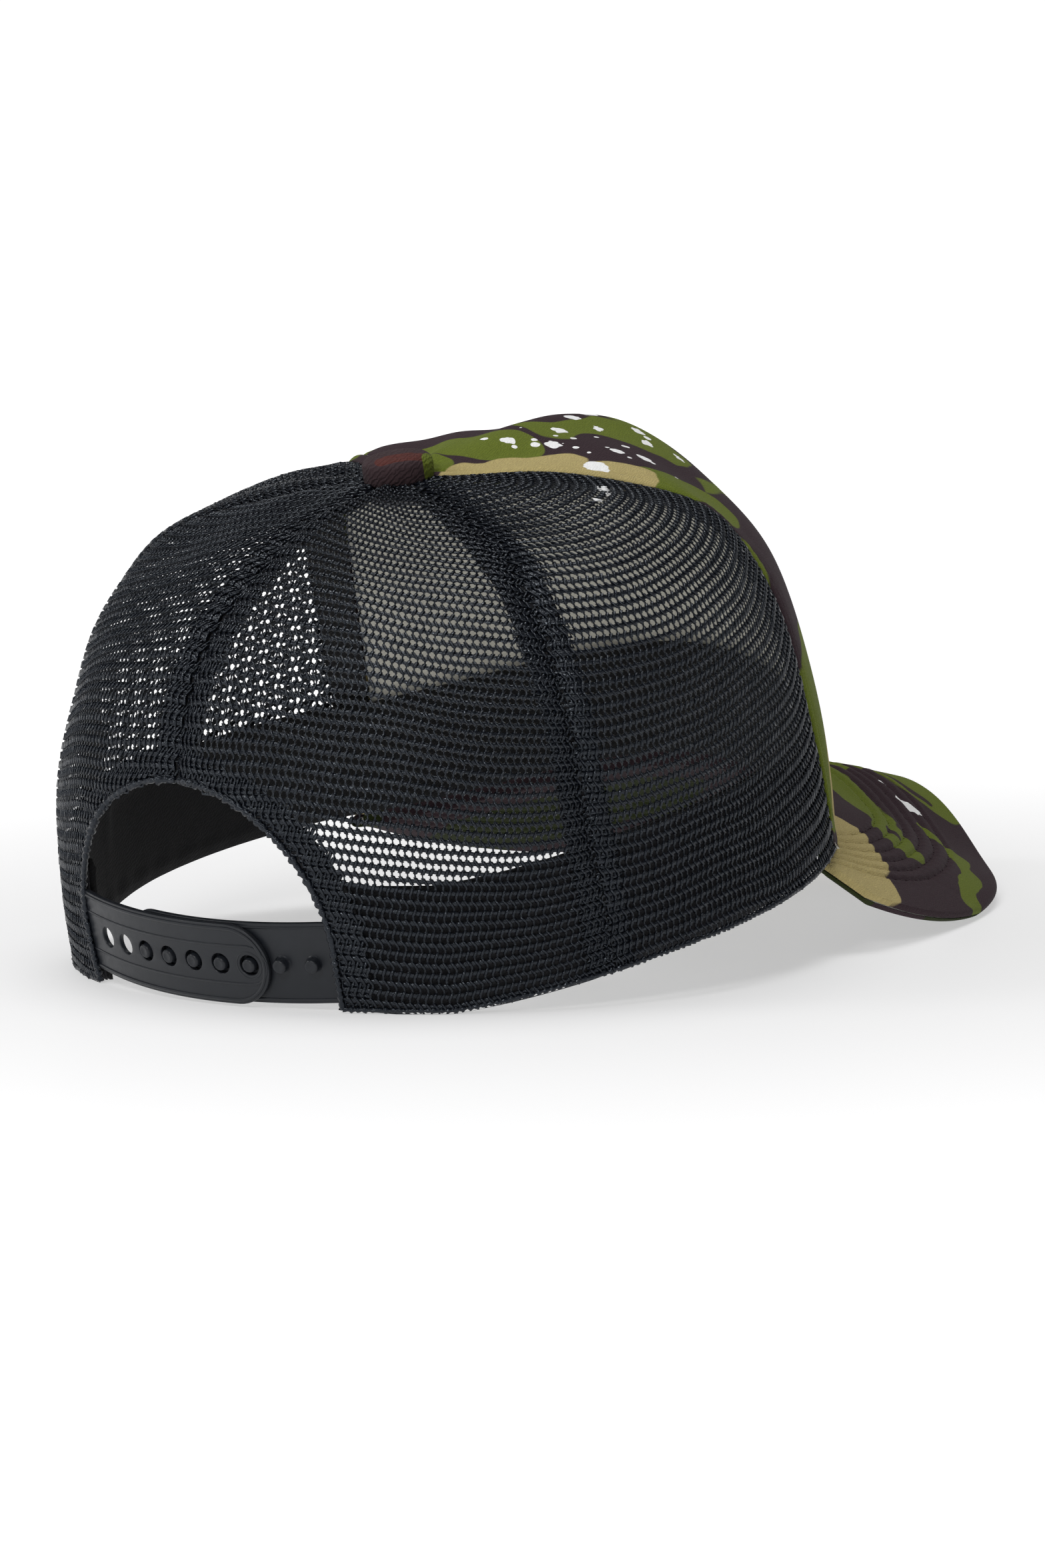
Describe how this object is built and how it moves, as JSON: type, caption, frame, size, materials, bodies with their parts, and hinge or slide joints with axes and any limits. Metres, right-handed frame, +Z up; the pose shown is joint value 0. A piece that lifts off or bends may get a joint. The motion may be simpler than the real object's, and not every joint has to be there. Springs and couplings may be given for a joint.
{
  "type": "mesh cap",
  "caption": "Foam-fronted cap with mesh sides and back, a curved stitched visor, a cloth-covered button and a snap strap across the back arch.",
  "frame": {"origin": "on the surface the cap stands on, under the middle of the bounding box", "axes": "+Z up, the visor points to -Y, the back arch faces +Y and the wearer's left is +X"},
  "size_m": [0.1792, 0.2706, 0.1259],
  "materials": {
    "camo_knit": "printed knit, matt",
    "foam": "open foam laminate, matt",
    "mesh": "black net, slightly shiny yarn",
    "tape": "woven tape, matt",
    "sweatband": "brushed knit, matt",
    "board": "moulded sheet",
    "thread": "sewing thread",
    "button_metal": "pressed",
    "snap_plastic": "moulded, satin"
  },
  "bodies": {
    "cap": {"front_panel": "camo_knit", "front_foam": "foam", "side_mesh_right": "mesh", "side_mesh_left": "mesh", "rear_mesh_right": "mesh", "rear_mesh_left": "mesh", "front_tape_right": "tape", "front_tape_left": "tape", "side_tape_right": "tape", "side_tape_left": "tape", "rear_tape": "tape", "arch_binding": "tape", "sweatband_backing": "sweatband", "sweatband_face": "sweatband", "visor_board": "board", "visor_top_cover": "camo_knit", "visor_under_cover": "camo_knit", "visor_stitching": "thread", "front_topstitch": "thread", "button_cover": "camo_knit", "button_shell": "button_metal", "button_plate": "button_metal", "strap_holed_tab": "snap_plastic", "strap_pegged_tab": "snap_plastic"},
    "holed_strap": {"strap_holed": "snap_plastic"},
    "pegged_strap": {"strap_pegged": "snap_plastic"}
  },
  "joints": [
    {"name": "holed_strap_swing", "type": "hinge", "parent": "cap", "child": "holed_strap", "pos_m": [0.03438, 0.12458, 0.01278], "axis": [0, -0.2419, -0.9703], "range_deg": [0, 80], "stiffness_Nm_per_rad": 0.01, "springref_deg": -8.59},
    {"name": "pegged_strap_swing", "type": "hinge", "parent": "cap", "child": "pegged_strap", "pos_m": [-0.03594, 0.12218, 0.01337], "axis": [0, -0.2419, -0.9703], "range_deg": [0, 45], "stiffness_Nm_per_rad": 0.01, "springref_deg": -8.59}
  ]
}
